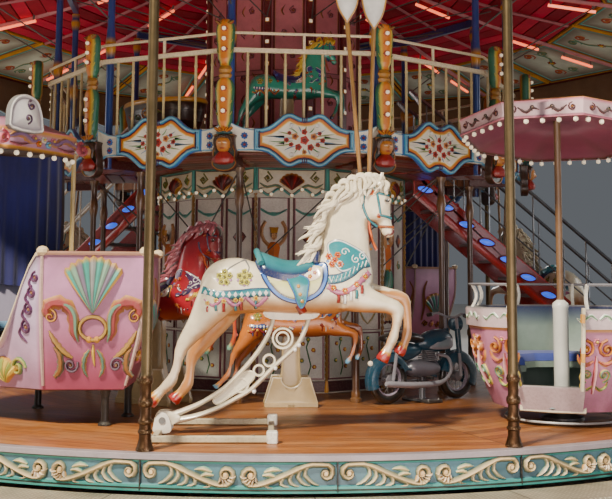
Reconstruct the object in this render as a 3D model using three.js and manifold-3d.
// A double-deck fairground carousel, modelled in millimetres, +Z up.
// The origin is on the turning axis at ground level. Bay 0 faces -Y.
import * as THREE from 'three';
import { mergeVertices } from 'three/addons/utils/BufferGeometryUtils.js';
import Module from 'manifold-3d';

const wasm = await Module();
wasm.setup();

// Clearance between pieces that touch
const GAP = 0.3;

// Plan of the carousel
const BAYS = 12;
const BAY_ANGLE = (2 * Math.PI) / BAYS;
const STAIR_BAYS = [3, 8];
const ROUND_STEPS = 48;

// Ground and platform
const STEP_INNER_R = 4760;
const STEP_OUTER_R = 5160;
const STEP_HEIGHT = 200;
const DECK_TOP = 430;
const DECK_THICKNESS = 60;
const DECK_R = 4620;
const RIM_FACE_R = 4690;
const RIM_LIP_R = 4700;
const RIM_LIP_DEPTH = 36;
const RIM_DROP = 230;

// Uprights
const OUTER_POLE_RING_R = 4600;
const OUTER_POLE_R = 38;
const LOWER_COLUMN_RING_R = 2040;
const COLUMN_RING_R = 2440;
const COLUMN_R = 45;
const COLUMN_SIDES = 8;
const TOP_BEAM_DEPTH = 90;
const JOIST_DEPTH = 100;
const JOIST_WIDTH = 60;

// Upper storey
const FLOOR_R = 2545;
const FLOOR_TOP = DECK_TOP + 2250;
const FLOOR_THICKNESS = 80;
const FASCIA_THICKNESS = 40;
const BALUSTRADE_R = 2518;
const RAIL_HEIGHT = 780;
const THIN_RAIL_HEIGHT = 940;
const PILASTER_RING_R = 2640;
const FASCIA_MIDDLE = DECK_TOP + 2262;
const LOWER_DRUM_R = 1345;
const UPPER_DRUM_R = 860;

// Roof and ceiling
const CEILING_INNER_R = 600;
const CEILING_CROWN = DECK_TOP + 4750;
const CEILING_RIDGE_R = 2640;
const CEILING_RIDGE = DECK_TOP + 4200;
const CEILING_EDGE_R = 4740;
const CEILING_EDGE = DECK_TOP + 3800;
const CEILING_THICKNESS = 40;
const CORNICE_THICKNESS = 50;
const CORNICE_BOTTOM = DECK_TOP + 3330;
const CORNICE_TOP = DECK_TOP + 4330;
const ROOF_APEX = DECK_TOP + 6050;
const ROOF_THICKNESS = 40;
const FINIAL_TOP = DECK_TOP + 6600;

// Stairs
const STAIR_FOOT_R = 4100;
const STAIR_HEAD_R = 1400;
const STAIR_RISERS = 12;
const STAIR_WIDTH = 700;
const STRINGER_THICKNESS = 30;
const STRINGER_DEPTH = 200;
const TREAD_THICKNESS = 35;
const HANDRAIL_HEIGHT = 880;
const STAIRWELL_WIDTH = 720;

const deg = (angle) => (angle * Math.PI) / 180;

// Places of the rides
const HORSE_RING_R = 3800;
const HORSE_ANGLES = [-4, 64, 114, 215, 272].map(deg);
const TUB_RING_R = 3770;
const TUB_ANGLES = [31.5, 187].map(deg);
const TUB_TURNS = [-60, 0].map(deg);
const GONDOLA_RING_R = 3350;
const GONDOLA_ANGLES = [-35.5, 152].map(deg);
const BIKE_RING_R = 2260;
const BIKE_ANGLE = deg(30);
const UPPER_RIDE_R = 1750;
const BOAT_ANGLES = [-45, 135].map(deg);

const bayAngle = (bay) => bay * BAY_ANGLE;
const vertexAngle = (vertex) => (vertex - 0.5) * BAY_ANGLE;
const apothem = (radius) => radius * Math.cos(BAY_ANGLE / 2);

const paint = (color, roughness = 0.5, metalness = 0) =>
  new THREE.MeshStandardMaterial({ color, roughness, metalness });

const MATERIALS = {
  plate: paint(0xb9b3a2, 0.45, 0.8),
  steel: paint(0x4a4744, 0.6, 0.7),
  planks: paint(0x8a5a32, 0.5),
  rim: paint(0x5fb0a6, 0.45),
  pole: paint(0x8d7c5f, 0.35, 0.8),
  column: paint(0x3e6fa0, 0.45),
  fascia: paint(0xf1e6cf, 0.4),
  balustrade: paint(0xd9d2b0, 0.4),
  drum: paint(0xcdb8b4, 0.5),
  ceiling: paint(0xb02a4a, 0.5),
  roof: paint(0xd8c8b0, 0.6),
  cornice: paint(0xe8d9b8, 0.45),
  stair: paint(0xa01f24, 0.45, 0.4),
  handrail: paint(0xc8c8c4, 0.35, 0.8),
  stand: paint(0xe6e0cc, 0.45, 0.3),
  horse: paint(0xf4ecd8, 0.35),
  redHorse: paint(0xc24a52, 0.35),
  goldHorse: paint(0xc07a34, 0.35),
  greenHorse: paint(0x3f9a72, 0.35),
  gondola: paint(0xd9a3b4, 0.4),
  tub: paint(0xd98f9f, 0.4),
  bike: paint(0x3f6f8a, 0.3, 0.4),
  boat: paint(0x5a3a2a, 0.4),
};

function toSolid(geometry) {
  const bare = geometry.clone();
  bare.deleteAttribute('normal');
  bare.deleteAttribute('uv');
  const merged = mergeVertices(bare, 1e-3);
  const vertProperties = new Float32Array(merged.attributes.position.array);
  const triVerts = new Uint32Array(merged.index.array);
  return new wasm.Manifold(new wasm.Mesh({ numProp: 3, vertProperties, triVerts }));
}

function toGeometry(solid) {
  const { vertProperties, triVerts } = solid.getMesh();
  const geometry = new THREE.BufferGeometry();
  geometry.setAttribute('position', new THREE.BufferAttribute(vertProperties, 3));
  geometry.setIndex(new THREE.BufferAttribute(triVerts, 1));
  geometry.computeVertexNormals();
  return geometry;
}

const join = (geometries) => toGeometry(geometries.map(toSolid).reduce((all, one) => all.add(one)));

const cut = (geometry, tools) =>
  toGeometry(tools.map(toSolid).reduce((rest, tool) => rest.subtract(tool), toSolid(geometry)));

// A body of revolution about Z from a profile of [radius, height] points
function turned(profile, sides, startAngle = 0) {
  const points = profile.map(([r, z]) => new THREE.Vector2(r, z));
  return new THREE.LatheGeometry(points, sides, startAngle, 2 * Math.PI).rotateX(Math.PI / 2);
}

// A ring of rectangular section
function ringBody(innerR, outerR, bottom, top, sides, startAngle = 0) {
  const profile = [[outerR, bottom], [outerR, top], [innerR, top], [innerR, bottom], [outerR, bottom]];
  return turned(profile, sides, startAngle);
}

// An upright prism or cylinder
function upright(radius, bottom, top, sides, startAngle = 0) {
  return turned([[0, bottom], [radius, bottom], [radius, top], [0, top]], sides, startAngle);
}

// A box between two corners
function box(x0, y0, z0, x1, y1, z1) {
  const shape = new THREE.BoxGeometry(x1 - x0, y1 - y0, z1 - z0);
  return shape.translate((x0 + x1) / 2, (y0 + y1) / 2, (z0 + z1) / 2);
}

// A flat slab cut to an outline in the XY plane, from z0 to z1
function slab(outline, z0, z1) {
  const shape = new THREE.Shape(outline.map(([x, y]) => new THREE.Vector2(x, y)));
  return new THREE.ExtrudeGeometry(shape, { depth: z1 - z0, bevelEnabled: false }).translate(0, 0, z0);
}

// A flat plate cut to an outline in the XZ plane, from y0 to y1
function plate(outline, y0, y1, holes = []) {
  const shape = new THREE.Shape(outline.map(([x, z]) => new THREE.Vector2(x, z)));
  shape.holes.push(...holes);
  const settings = { depth: y1 - y0, bevelEnabled: false, curveSegments: 10 };
  const geometry = new THREE.ExtrudeGeometry(shape, settings);
  return geometry.rotateX(Math.PI / 2).translate(0, y1, 0);
}

function roundHole(x, z, radius, sides = 8) {
  const path = new THREE.Path();
  const corners = Array.from({ length: sides }, (_, i) => {
    const angle = (2 * Math.PI * i) / sides;
    return new THREE.Vector2(x + radius * Math.cos(angle), z + radius * Math.sin(angle));
  });
  return path.setFromPoints(corners);
}

// A straight round bar between two points
function bar(from, to, radius, sides = 6) {
  const start = new THREE.Vector3(...from);
  const end = new THREE.Vector3(...to);
  const shape = new THREE.CylinderGeometry(radius, radius, start.distanceTo(end), sides);
  const axis = end.clone().sub(start).normalize();
  shape.applyQuaternion(new THREE.Quaternion().setFromUnitVectors(new THREE.Vector3(0, 1, 0), axis));
  const middle = start.add(end).multiplyScalar(0.5);
  return shape.translate(middle.x, middle.y, middle.z);
}

// A tapering limb: a cylinder whose rings are moved onto [x, y, z, half depth, half width] stations.
// Widths lie along Y, and depths lie across the path in the XZ plane
function limb(stations, sides = 8) {
  const last = stations.length - 1;
  const shape = new THREE.CylinderGeometry(1, 1, last, sides, last);
  const place = shape.attributes.position;
  const centres = stations.map(([x, y, z]) => new THREE.Vector3(x, y, z));
  const sideways = new THREE.Vector3(0, 1, 0);
  for (let i = 0; i < place.count; i += 1) {
    const ring = Math.round(last / 2 - place.getY(i));
    const before = centres[Math.max(ring - 1, 0)];
    const after = centres[Math.min(ring + 1, last)];
    const along = after.clone().sub(before).normalize();
    const across = sideways.clone().cross(along).normalize();
    const [, , , halfDepth, halfWidth] = stations[ring];
    const point = centres[ring].clone();
    point.addScaledVector(across, place.getX(i) * halfDepth);
    point.addScaledVector(sideways, place.getZ(i) * halfWidth);
    place.setXYZ(i, point.x, point.y, point.z);
  }
  return shape;
}

const carousel = new THREE.Group();

function addNode(parent, name, geometry, material) {
  const mesh = new THREE.Mesh(geometry, material);
  mesh.name = name;
  parent.add(mesh);
  return mesh;
}

// A frame at a plan angle: X runs along the rim to the right as seen from outside, Y points inwards
function frameAt(angle, radius, height) {
  const frame = new THREE.Group();
  frame.position.set(radius * Math.sin(angle), -radius * Math.cos(angle), height);
  frame.rotation.z = angle;
  carousel.add(frame);
  return frame;
}

const numbered = (name, index) => `${name}_${String(index).padStart(2, '0')}`;

// Height of the ceiling's underside at a distance from the axis, measured along a ridge of the polygon
function ceilingUnder(radius) {
  const [nearR, nearZ, farR, farZ] = radius < CEILING_RIDGE_R
    ? [CEILING_INNER_R, CEILING_CROWN, CEILING_RIDGE_R, CEILING_RIDGE]
    : [CEILING_RIDGE_R, CEILING_RIDGE, CEILING_EDGE_R, CEILING_EDGE];
  return nearZ + ((radius - nearR) / (farR - nearR)) * (farZ - nearZ);
}

function buildBase() {
  const step = ringBody(STEP_INNER_R, STEP_OUTER_R, 0, STEP_HEIGHT, ROUND_STEPS);
  addNode(carousel, 'step_ring', step, MATERIALS.plate);

  const beamWidth = 120;
  const beamHeight = 150;
  const hubR = 450;
  const beamStart = 300;
  const beamEnd = STEP_INNER_R - (beamWidth / 2) * Math.tan(Math.PI / ROUND_STEPS) - GAP;
  const pieces = [upright(hubR, 0, DECK_TOP - DECK_THICKNESS - GAP, 12)];
  for (let i = 0; i < BAYS; i += 1) {
    const beam = box(-beamWidth / 2, beamStart, 0, beamWidth / 2, beamEnd, beamHeight);
    pieces.push(beam.rotateZ(vertexAngle(i)));
  }
  addNode(carousel, 'base_frame', join(pieces), MATERIALS.steel);
}

function buildPlatform() {
  const deck = upright(DECK_R, DECK_TOP - DECK_THICKNESS, DECK_TOP, ROUND_STEPS);
  addNode(carousel, 'deck', deck, MATERIALS.planks);

  const innerR = DECK_R + GAP;
  const bottom = DECK_TOP - RIM_DROP;
  const lipBottom = DECK_TOP - RIM_LIP_DEPTH;
  const profile = [
    [RIM_FACE_R, bottom], [RIM_FACE_R, lipBottom], [RIM_LIP_R, lipBottom], [RIM_LIP_R, DECK_TOP],
    [innerR, DECK_TOP], [innerR, bottom], [RIM_FACE_R, bottom],
  ];
  addNode(carousel, 'rim_boards', turned(profile, ROUND_STEPS), MATERIALS.rim);
}

function buildOuterPoles() {
  const foot = DECK_TOP + GAP;
  const top = ceilingUnder(OUTER_POLE_RING_R + OUTER_POLE_R) - GAP;
  const profile = [
    [0, foot], [58, foot], [OUTER_POLE_R + 6, foot + 60], [OUTER_POLE_R + 6, foot + 440],
    [OUTER_POLE_R, foot + 460],
    [OUTER_POLE_R, top], [0, top],
  ];
  for (let i = 0; i < BAYS; i += 1) {
    const frame = frameAt(vertexAngle(i), OUTER_POLE_RING_R, 0);
    addNode(frame, numbered('outer_pole', i + 1), turned(profile, 8), MATERIALS.pole);
  }
}

const COLUMN_TOP = ceilingUnder(COLUMN_RING_R + COLUMN_R + 60) - GAP;
const FRONT_BAYS = [9, 10, 11, 0, 1, 2];
const REAR_BAYS = [4, 5, 6, 7];
const COLUMN_ROWS = [[9, 10, 11], [0, 1, 2, 3], [4, 5, 6], [7, 8]];

const JOIST_TOP = FLOOR_TOP - FLOOR_THICKNESS - GAP;

function columnAt(vertex, ringR, bottom, top, clearance = 0) {
  const radius = (COLUMN_R + clearance) / Math.cos(Math.PI / COLUMN_SIDES);
  const column = upright(radius, bottom, top, COLUMN_SIDES, Math.PI / COLUMN_SIDES);
  return column.translate(0, -ringR, 0).rotateZ(vertexAngle(vertex));
}

// A lower column, the joist that it carries, and the upper column on the joist's outer end,
// which goes up through the floor
function columnPair(vertex) {
  const bottom = JOIST_TOP - JOIST_DEPTH;
  const half = JOIST_WIDTH / 2;
  const overhang = 50;
  const socket = 10;
  const outer = COLUMN_RING_R + overhang;
  const inner = LOWER_COLUMN_RING_R - overhang;
  const joist = box(-half, -outer, bottom, half, -inner, JOIST_TOP);
  return [
    columnAt(vertex, LOWER_COLUMN_RING_R, DECK_TOP + GAP, bottom + socket),
    joist.rotateZ(vertexAngle(vertex)),
    columnAt(vertex, COLUMN_RING_R, bottom, COLUMN_TOP),
  ];
}

function buildColumns() {
  COLUMN_ROWS.forEach((row, index) => {
    const pieces = row.flatMap(columnPair);
    for (const vertex of row.slice(0, -1)) {
      const half = COLUMN_RING_R * Math.sin(BAY_ANGLE / 2);
      const middle = apothem(COLUMN_RING_R);
      const beam = box(-half, -middle - 30, COLUMN_TOP - TOP_BEAM_DEPTH, half, -middle + 30, COLUMN_TOP);
      pieces.push(beam.rotateZ(bayAngle(vertex)));
    }
    addNode(carousel, `column_row_${index + 1}`, join(pieces), MATERIALS.column);
  });
}

function buildUpperDeck() {
  const floor = upright(FLOOR_R, FLOOR_TOP - FLOOR_THICKNESS, FLOOR_TOP, BAYS, vertexAngle(0));
  const hole = (vertex) => columnAt(vertex, COLUMN_RING_R, JOIST_TOP, COLUMN_TOP, GAP);
  const holes = Array.from({ length: BAYS }, (_, vertex) => hole(vertex));
  for (const bay of STAIR_BAYS) {
    const half = STAIRWELL_WIDTH / 2;
    const well = box(-half, -FLOOR_R - 100, FLOOR_TOP - 200, half, -STAIR_HEAD_R, FLOOR_TOP + 100);
    holes.push(well.rotateZ(bayAngle(bay)));
  }
  addNode(carousel, 'upper_deck', cut(floor, holes), MATERIALS.planks);
}

// Half of the cartouche outline of a fascia board, as [distance from the middle, rise above the centre line]
const CARTOUCHE = [[0, 205], [90, 248], [190, 225], [290, 150], [420, 118]];

function fasciaBoard(bay) {
  const halfBay = (apothem(FLOOR_R) + GAP + FASCIA_THICKNESS) * Math.tan(BAY_ANGLE / 2);
  const right = [...CARTOUCHE, [halfBay, 107]];
  const top = [...right.slice(1).reverse().map(([x, z]) => [-x, z]), ...right];
  const bottom = top.slice().reverse().map(([x, z]) => [x, -z]);
  const outline = [...top, ...bottom].map(([x, z]) => [x, z + FASCIA_MIDDLE]);
  const face = -apothem(FLOOR_R) - GAP;
  return plate(outline, face - FASCIA_THICKNESS, face).rotateZ(bayAngle(bay));
}

// A pilaster: scroll bracket, bust block and two swelling panels, one above the other
function pilaster(vertex) {
  const base = DECK_TOP + 1990;
  const profile = [
    [0, base], [40, base], [95, base + 190], [95, base + 380], [60, base + 430], [90, base + 580],
    [50, base + 800], [88, base + 950], [45, base + 1210], [0, base + 1210],
  ];
  return turned(profile, 6).scale(1, 0.75, 1).translate(0, -PILASTER_RING_R, 0).rotateZ(vertexAngle(vertex));
}

function buildFascia() {
  const runs = { fascia_front: FRONT_BAYS, fascia_rear: REAR_BAYS };
  for (const [name, bays] of Object.entries(runs)) {
    const lastVertex = (bays.at(-1) + 1) % BAYS;
    const pieces = bays.map(fasciaBoard).concat([...bays, lastVertex].map(pilaster));
    addNode(carousel, name, join(pieces), MATERIALS.fascia);
  }
}

// One bay of the balustrade. Its rails reach the corner where the run goes on,
// and stop short of it elsewhere.
function balustradeBay(bay, reachesLeft, reachesRight) {
  const face = -apothem(BALUSTRADE_R);
  const balusters = 7;
  const spacing = (2 * BALUSTRADE_R * Math.sin(BAY_ANGLE / 2)) / (balusters + 1);
  const middle = (balusters + 1) / 2;
  const floor = FLOOR_TOP + GAP;
  const rail = (halfDepth, bottom, top) => {
    const shared = (-face + halfDepth) * Math.tan(BAY_ANGLE / 2);
    const free = (-face - halfDepth) * Math.tan(BAY_ANGLE / 2) - GAP;
    const left = reachesLeft ? shared : free;
    const right = reachesRight ? shared : free;
    return box(-left, face - halfDepth, floor + bottom, right, face + halfDepth, floor + top);
  };
  const pieces = [
    rail(20, 0, 40),
    rail(20, RAIL_HEIGHT, RAIL_HEIGHT + 40),
    rail(12, THIN_RAIL_HEIGHT, THIN_RAIL_HEIGHT + 24),
  ];
  pieces.push(box(-14, face - 10, floor + RAIL_HEIGHT + 39, 14, face + 10, floor + THIN_RAIL_HEIGHT + 1));
  for (let i = 1; i <= balusters; i += 1) {
    const x = (i - middle) * spacing;
    pieces.push(box(x - 14, face - 14, floor + 39, x + 14, face + 14, floor + RAIL_HEIGHT + 1));
  }
  return pieces.map((piece) => piece.rotateZ(bayAngle(bay)));
}

function buildBalustrades() {
  const pairs = [[9, 10], [11, 0], [1, 2], [4, 5], [6, 7]];
  pairs.forEach(([first, second], index) => {
    const pieces = [...balustradeBay(first, false, true), ...balustradeBay(second, true, false)];
    addNode(carousel, `balustrade_${index + 1}`, join(pieces), MATERIALS.balustrade);
  });
}

function buildDrums() {
  const lowerTop = FLOOR_TOP - FLOOR_THICKNESS - GAP;
  const lower = upright(LOWER_DRUM_R, DECK_TOP + GAP, lowerTop, BAYS, vertexAngle(0));
  addNode(carousel, 'lower_drum', lower, MATERIALS.drum);
  const upperTop = ceilingUnder(UPPER_DRUM_R) - GAP;
  const upper = upright(UPPER_DRUM_R, FLOOR_TOP + GAP, upperTop, BAYS, vertexAngle(0));
  addNode(carousel, 'upper_drum', upper, MATERIALS.drum);
}

function buildRoof() {
  const start = vertexAngle(0);
  const lift = CEILING_THICKNESS;
  const ceiling = [
    [CEILING_INNER_R, CEILING_CROWN], [CEILING_RIDGE_R, CEILING_RIDGE], [CEILING_EDGE_R, CEILING_EDGE],
    [CEILING_EDGE_R, CEILING_EDGE + lift], [CEILING_RIDGE_R, CEILING_RIDGE + lift],
    [CEILING_INNER_R, CEILING_CROWN + lift], [CEILING_INNER_R, CEILING_CROWN],
  ];
  addNode(carousel, 'ceiling', turned(ceiling, BAYS, start), MATERIALS.ceiling);

  const eavesInnerR = CEILING_EDGE_R - 100;
  const roof = [
    [0, ROOF_APEX - ROOF_THICKNESS], [eavesInnerR, ceilingUnder(eavesInnerR) + lift + GAP],
    [CEILING_EDGE_R, CEILING_EDGE + lift + GAP],
    [180, ROOF_APEX], [110, ROOF_APEX + 80], [190, ROOF_APEX + 230], [60, ROOF_APEX + 400], [0, FINIAL_TOP],
  ];
  addNode(carousel, 'roof', turned(roof, BAYS, start), MATERIALS.roof);

  const inner = apothem(CEILING_EDGE_R) + GAP;
  const halfBay = (inner + CORNICE_THICKNESS) * Math.tan(BAY_ANGLE / 2);
  const scallops = 3;
  const lower = Array.from({ length: scallops * 4 + 1 }, (_, i) => {
    const x = -halfBay + (2 * halfBay * i) / (scallops * 4);
    const phase = (Math.PI * scallops * (x + halfBay)) / (2 * halfBay);
    return [x, CORNICE_BOTTOM + 60 * Math.abs(Math.cos(phase))];
  });
  const upper = [
    [halfBay, CORNICE_TOP - 90], [0.45 * halfBay, CORNICE_TOP - 60], [0.3 * halfBay, CORNICE_TOP + 120],
    [0, CORNICE_TOP + 190], [-0.3 * halfBay, CORNICE_TOP + 120], [-0.45 * halfBay, CORNICE_TOP - 60],
    [-halfBay, CORNICE_TOP - 90],
  ];
  const boards = Array.from({ length: BAYS }, (_, bay) =>
    plate([...lower, ...upper], -inner - CORNICE_THICKNESS, -inner).rotateZ(bayAngle(bay)));
  addNode(carousel, 'cornice', join(boards), MATERIALS.cornice);
}

// A straight radial flight, built in a bay's own frame with Y running inwards
function buildStair(name, bay) {
  const frame = frameAt(bayAngle(bay), 0, 0);
  const foot = DECK_TOP + GAP;
  const rise = (FLOOR_TOP - DECK_TOP) / STAIR_RISERS;
  const run = STAIR_FOOT_R - STAIR_HEAD_R;
  const going = run / STAIR_RISERS;
  const slope = rise / going;
  const half = STAIR_WIDTH / 2;
  const head = -STAIR_HEAD_R - GAP;
  const topLine = (y) => foot + (y + STAIR_FOOT_R) * slope;
  const drop = STRINGER_DEPTH * Math.hypot(1, slope);
  const outline = [
    [-STAIR_FOOT_R, foot], [-STAIR_FOOT_R + drop / slope, foot], [head, topLine(head) - drop],
    [head, FLOOR_TOP], [head - 60, FLOOR_TOP], [-STAIR_FOOT_R, foot + 60],
  ];
  const edge = (y) => foot + 60 + ((y + STAIR_FOOT_R) / (head - 60 + STAIR_FOOT_R)) * (FLOOR_TOP - foot - 60);
  const stringer = (x) => plate(outline, x, x + STRINGER_THICKNESS).rotateZ(Math.PI / 2);
  const pieces = [stringer(-half), stringer(half - STRINGER_THICKNESS)];
  for (let i = 1; i < STAIR_RISERS; i += 1) {
    const y = -STAIR_FOOT_R + i * going;
    const z = DECK_TOP + i * rise;
    pieces.push(box(-half + 10, y - 30, z - TREAD_THICKNESS, half - 10, y + going, z));
  }
  addNode(frame, name, join(pieces), MATERIALS.stair);

  for (const [side, x] of [['a', -half + 15], ['b', half - 15]]) {
    const bars = [];
    const first = -STAIR_FOOT_R + 180;
    const last = head - 140;
    const posts = 8;
    const railTop = (y) => Math.min(topLine(y), FLOOR_TOP) + HANDRAIL_HEIGHT;
    bars.push(bar([x, first, railTop(first)], [x, last, railTop(last)], 20));
    for (let i = 0; i <= posts; i += 1) {
      const y = first + 15 + ((last - first - 30) * i) / posts;
      bars.push(box(x - 9, y - 9, edge(y + 9) + GAP, x + 9, y + 9, railTop(y)));
    }
    addNode(frame, `${name}_handrail_${side}`, join(bars), MATERIALS.handrail);
  }
}

// The horse, in metres before scaling: nose to the right, Z measured from the deck
const HORSE_BODY = [
  [-0.59, 0, 1.0, 0.07, 0.06], [-0.48, 0, 1.025, 0.185, 0.15], [-0.3, 0, 1.03, 0.195, 0.17],
  [0, 0, 1.005, 0.17, 0.165],
  [0.25, 0, 1.03, 0.19, 0.165], [0.48, 0, 1.05, 0.19, 0.145], [0.62, 0, 1.06, 0.08, 0.07],
];
const HORSE_NECK = [
  [0.43, 0, 1.1, 0.19, 0.125], [0.435, 0, 1.35, 0.17, 0.1], [0.445, 0, 1.55, 0.145, 0.075],
  [0.53, 0, 1.68, 0.1, 0.06],
  [0.62, 0, 1.715, 0.07, 0.05],
];
const HORSE_HEAD = [
  [0.64, 0, 1.77, 0.03, 0.03], [0.663, 0, 1.67, 0.09, 0.065], [0.675, 0, 1.56, 0.09, 0.07],
  [0.72, 0, 1.47, 0.047, 0.05],
  [0.752, 0, 1.375, 0.035, 0.04],
];
const HORSE_LEGS = [
  [[-0.42, -0.09, 0.98, 0.15, 0.09], [-0.56, -0.09, 0.74, 0.09, 0.07], [-0.685, -0.09, 0.62, 0.045, 0.04],
    [-0.77, -0.09, 0.38, 0.032, 0.03], [-0.87, -0.09, 0.27, 0.05, 0.045]],
  [[-0.4, 0.09, 0.96, 0.15, 0.09], [-0.5, 0.09, 0.7, 0.09, 0.07], [-0.64, 0.09, 0.53, 0.045, 0.04],
    [-0.675, 0.09, 0.36, 0.032, 0.03], [-0.745, 0.09, 0.265, 0.05, 0.045]],
  [[0.45, -0.09, 0.96, 0.1, 0.07], [0.62, -0.09, 0.91, 0.065, 0.055], [0.785, -0.09, 0.86, 0.05, 0.045],
    [0.765, -0.09, 0.66, 0.032, 0.032], [0.7, -0.09, 0.545, 0.045, 0.042]],
  [[0.45, 0.09, 0.99, 0.1, 0.07], [0.65, 0.09, 0.955, 0.06, 0.05], [0.855, 0.09, 0.935, 0.045, 0.045],
    [0.9, 0.09, 0.72, 0.032, 0.032], [0.84, 0.09, 0.575, 0.045, 0.042]],
];
const SADDLE = [
  [-0.2, 0, 1.23, 0.04, 0.11], [0, 0, 1.15, 0.06, 0.17], [0.22, 0, 1.24, 0.05, 0.1],
];

// The rocker arm: a curved lattice plate from the pivot eye up to the belly
const PIVOT_X = -840;
const PIVOT_Z = 100;
const PIN_R = 24;
const PIN_SIDES = 24;
const PIN_CLEARANCE = 0.35;
const ARM_HALF_THICKNESS = 45;
const CHEEK_CLEARANCE = 6;
const CHEEK_THICKNESS = 30;

function rockerArm() {
  const outline = [
    [PIVOT_X - 55, PIVOT_Z], [PIVOT_X - 20, PIVOT_Z - 50], [PIVOT_X + 70, PIVOT_Z - 25], [-480, 150],
    [-210, 295],
    [-55, 450], [95, 590], [215, 900], [-75, 900], [-140, 675], [-245, 530], [-400, 365], [-620, 210],
    [PIVOT_X, PIVOT_Z + 55],
  ];
  const eye = roundHole(PIVOT_X, PIVOT_Z, PIN_R + PIN_CLEARANCE, PIN_SIDES);
  const holes = [eye, roundHole(-10, 655, 75), roundHole(-125, 500, 48)];
  return plate(outline, -ARM_HALF_THICKNESS, ARM_HALF_THICKNESS, holes);
}

function horseFigure() {
  const metres = [
    limb(HORSE_BODY), limb(HORSE_NECK), limb(HORSE_HEAD, 6), limb(SADDLE, 6),
    ...HORSE_LEGS.map((leg) => limb(leg, 5)),
  ];
  return metres.map((shape) => shape.scale(1000, 1000, 1000));
}

function horseStand() {
  const railY = 420;
  const left = PIVOT_X - 100;
  const right = -60;
  const cheek = ARM_HALF_THICKNESS + CHEEK_CLEARANCE;
  const pinEnd = cheek + CHEEK_THICKNESS;
  const pieces = [
    box(left, -railY, 0, left + 160, railY, 38),
    box(right - 45, -railY, 0, right - 5, railY, 40),
    bar([PIVOT_X, -pinEnd, PIVOT_Z], [PIVOT_X, pinEnd, PIVOT_Z], PIN_R, PIN_SIDES),
  ];
  for (const y of [-railY, railY]) {
    pieces.push(box(left, y - 25, 0, right, y + 25, 50));
    pieces.push(box(right - 60, y - 45, 0, right + 20, y + 45, 80));
  }
  for (const y of [-pinEnd, cheek]) {
    pieces.push(box(PIVOT_X - 55, y, 20, PIVOT_X + 55, y + CHEEK_THICKNESS, PIVOT_Z + 55));
  }
  return join(pieces);
}

function buildRockingHorses() {
  const figure = join([...horseFigure(), rockerArm()]);
  const stand = horseStand();
  HORSE_ANGLES.forEach((angle, index) => {
    const frame = frameAt(angle, HORSE_RING_R, DECK_TOP + GAP);
    addNode(frame, numbered('rocking_horse', index + 1), figure, MATERIALS.horse);
    addNode(frame, numbered('horse_stand', index + 1), stand, MATERIALS.stand);
  });
}

// A smaller horse fixed on a post and a foot plate
function fixedHorse(scale) {
  const post = [
    box(-330, -220, 0, 330, -160, 60), box(-330, 160, 0, 330, 220, 60), box(-60, -220, 0, 60, 220, 50),
    plate([[-200, 30], [200, 30], [90, 860], [-90, 860]], -35, 35),
  ];
  return join([...horseFigure(), ...post].map((shape) => shape.scale(scale, scale, scale)));
}

function buildFixedHorses() {
  const places = [
    ['inner_horse_1', -33, 2300, DECK_TOP, 0.86, MATERIALS.redHorse],
    ['inner_horse_2', -2, 2210, DECK_TOP, 0.7, MATERIALS.goldHorse],
    ['upper_horse_1', -3, UPPER_RIDE_R, FLOOR_TOP, 0.6, MATERIALS.greenHorse],
    ['upper_horse_2', 177, UPPER_RIDE_R, FLOOR_TOP, 0.6, MATERIALS.greenHorse],
  ];
  for (const [name, angle, radius, floor, scale, material] of places) {
    addNode(frameAt(deg(angle), radius, floor + GAP), name, fixedHorse(scale), material);
  }
}

// An eight-sided canopy with a drooping edge board, open underneath
function canopy(radius, edgeBottom) {
  const board = 30;
  return turned([
    [0, edgeBottom + 250], [radius - board, edgeBottom + 110], [radius - board, edgeBottom],
    [radius, edgeBottom],
    [radius, edgeBottom + 140], [0, edgeBottom + 300],
  ], 8, Math.PI / 8);
}

// A round tub that spins on its own post, with a doorway, a seat and an umbrella canopy
function buildTubs() {
  const bottom = 120;
  const rim = 860;
  const wall = 40;
  const shell = turned([
    [0, bottom], [520, bottom], [650, 420], [720, rim], [720 - wall, rim], [650 - wall, 420],
    [520, bottom + 50],
    [0, bottom + 50],
  ], 12, Math.PI / 12);
  const seat = turned([[615, 430], [330, 430], [330, 380], [600, 380], [615, 430]], 12, Math.PI / 12);
  const doorway = box(-250, -900, 300, 250, -300, rim + 50);
  const post = turned([
    [0, 0], [170, 0], [170, 30], [60, 60], [60, 900], [28, 930], [28, 2460], [0, 2460],
  ], 8, Math.PI / 8);
  const seatLegs = [0, 1, 2].map((i) => box(-25, 330, bottom + 20, 25, 380, 400).rotateZ(deg(90 * (i - 1))));
  const body = toSolid(shell).add(toSolid(seat)).subtract(toSolid(doorway));
  const canopyHeight = 2200;
  const canopyLean = deg(-6.5);
  const shade = canopy(780, 0).rotateX(canopyLean).translate(0, 0, canopyHeight);
  const parts = [post, shade, ...seatLegs].map(toSolid);
  const tub = toGeometry(parts.reduce((all, one) => all.add(one), body));
  TUB_ANGLES.forEach((angle, index) => {
    const frame = frameAt(angle, TUB_RING_R, DECK_TOP + GAP);
    addNode(frame, `tub_${index + 1}`, tub.clone().rotateZ(TUB_TURNS[index]), MATERIALS.tub);
  });
}

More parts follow.
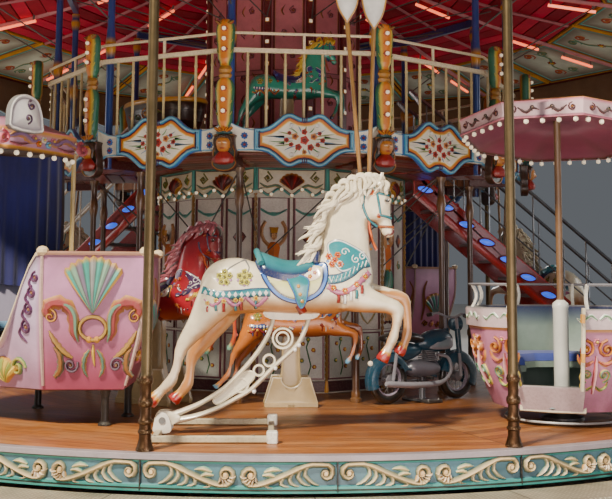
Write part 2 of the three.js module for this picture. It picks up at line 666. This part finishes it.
// An eight-sided gondola for four, narrower on its inner side: a low entry on its outer side,
// two benches, and a hood with a curtain over its left bench
function buildGondolas() {
  const halfDepth = 700;
  const bottom = 260;
  const rim = 1240;
  const wall = 45;
  const innerShare = 1 - wall / halfDepth;
  const halfPlan = [[300, 680], [660, 360], [1050, -290], [435, -halfDepth]];
  const plan = [...halfPlan, ...halfPlan.slice().reverse().map(([x, y]) => [-x, y])];
  const hullPrism = (share, z0, z1) => slab(plan.map(([x, y]) => [x * share, y * share]), z0, z1);
  const doorway = [[-300, 520], [300, 520], [430, 800], [330, 1300], [-330, 1300], [-430, 800]];
  const entry = plate(doorway, -halfDepth - 50, -300);
  const hollow = hullPrism(innerShare, bottom + 50, rim + 50);
  const hull = toSolid(hullPrism(1, bottom, rim)).subtract(toSolid(hollow)).subtract(toSolid(entry));
  const seat = 660;
  const bench = [[480, -290], [1010, -290], [640, 330], [480, 330]];
  const curtain = [[-950, -200], [-620, 285], [-290, 285], [-290, 315], [-640, 315], [-975, -185]];
  const hoodLeft = -1000;
  const hoodRight = -140;
  const hoodFront = -620;
  const hoodBack = 330;
  const hoodOutline = [
    [hoodLeft, 2110], [hoodRight, 2110], [hoodRight, 2250], [-570, 2400], [hoodLeft, 2250],
  ];
  const fittings = [
    slab(bench, seat - 60, seat), slab(bench.map(([x, y]) => [-x, y]), seat - 60, seat),
    plate(hoodOutline, hoodFront, hoodBack),
    slab(curtain, 1000, 2120),
    bar([-960, -230, 300], [-960, -230, 2130], 22),
    bar([-200, hoodBack - 45, 300], [-200, hoodBack - 45, 2130], 22),
  ];
  const legs = [[-660, -240], [660, -240], [-480, 240], [480, 240]].map(([x, y]) =>
    box(x - 40, y - 40, 0, x + 40, y + 40, bottom + 10));
  const gondola = toGeometry([...fittings, ...legs].map(toSolid).reduce((all, one) => all.add(one), hull));
  GONDOLA_ANGLES.forEach((angle, index) => {
    const frame = frameAt(angle, GONDOLA_RING_R, DECK_TOP + GAP);
    addNode(frame, `gondola_${index + 1}`, gondola, MATERIALS.gondola);
  });
}

function buildMotorbike() {
  const wheel = (x) => new THREE.CylinderGeometry(210, 210, 90, 14).translate(x, 0, 210);
  const pieces = [
    wheel(-400), wheel(420),
    limb([[-420, 0, 360, 60, 60], [-150, 0, 420, 130, 110], [120, 0, 470, 150, 110], [380, 0, 480, 90, 70]]),
    limb([[-480, 0, 560, 30, 50], [-250, 0, 600, 60, 100], [0, 0, 560, 50, 90]], 6),
    plate([[260, 380], [480, 260], [520, 330], [420, 760], [340, 760]], -60, 60),
    bar([350, -260, 760], [350, 260, 760], 20),
    box(-90, -180, 0, 90, 180, 30),
    box(-40, -40, 20, 40, 40, 380),
  ];
  const frame = frameAt(BIKE_ANGLE, BIKE_RING_R, DECK_TOP + GAP);
  addNode(frame, 'motorbike', join(pieces), MATERIALS.bike);
}

function buildBoats() {
  const section = [[0, 60], [180, 60], [320, 250], [380, 520], [350, 520], [290, 260], [160, 100], [0, 100]];
  const hull = turned(section, 12);
  const foot = box(-150, -120, 0, 150, 120, 80);
  const seat = box(-330, -180, 290, -190, 180, 330);
  const boat = join([hull.scale(1.3, 0.75, 1), foot, seat]);
  BOAT_ANGLES.forEach((angle, index) => {
    const frame = frameAt(angle, UPPER_RIDE_R, FLOOR_TOP + GAP);
    addNode(frame, `boat_${index + 1}`, boat, MATERIALS.boat);
  });
}

buildBase();
buildPlatform();
buildOuterPoles();
buildColumns();
buildUpperDeck();
buildFascia();
buildBalustrades();
buildDrums();
buildRoof();
buildStair('stair_right', STAIR_BAYS[0]);
buildStair('stair_left', STAIR_BAYS[1]);
buildRockingHorses();
buildFixedHorses();
buildTubs();
buildGondolas();
buildMotorbike();
buildBoats();

export default carousel;
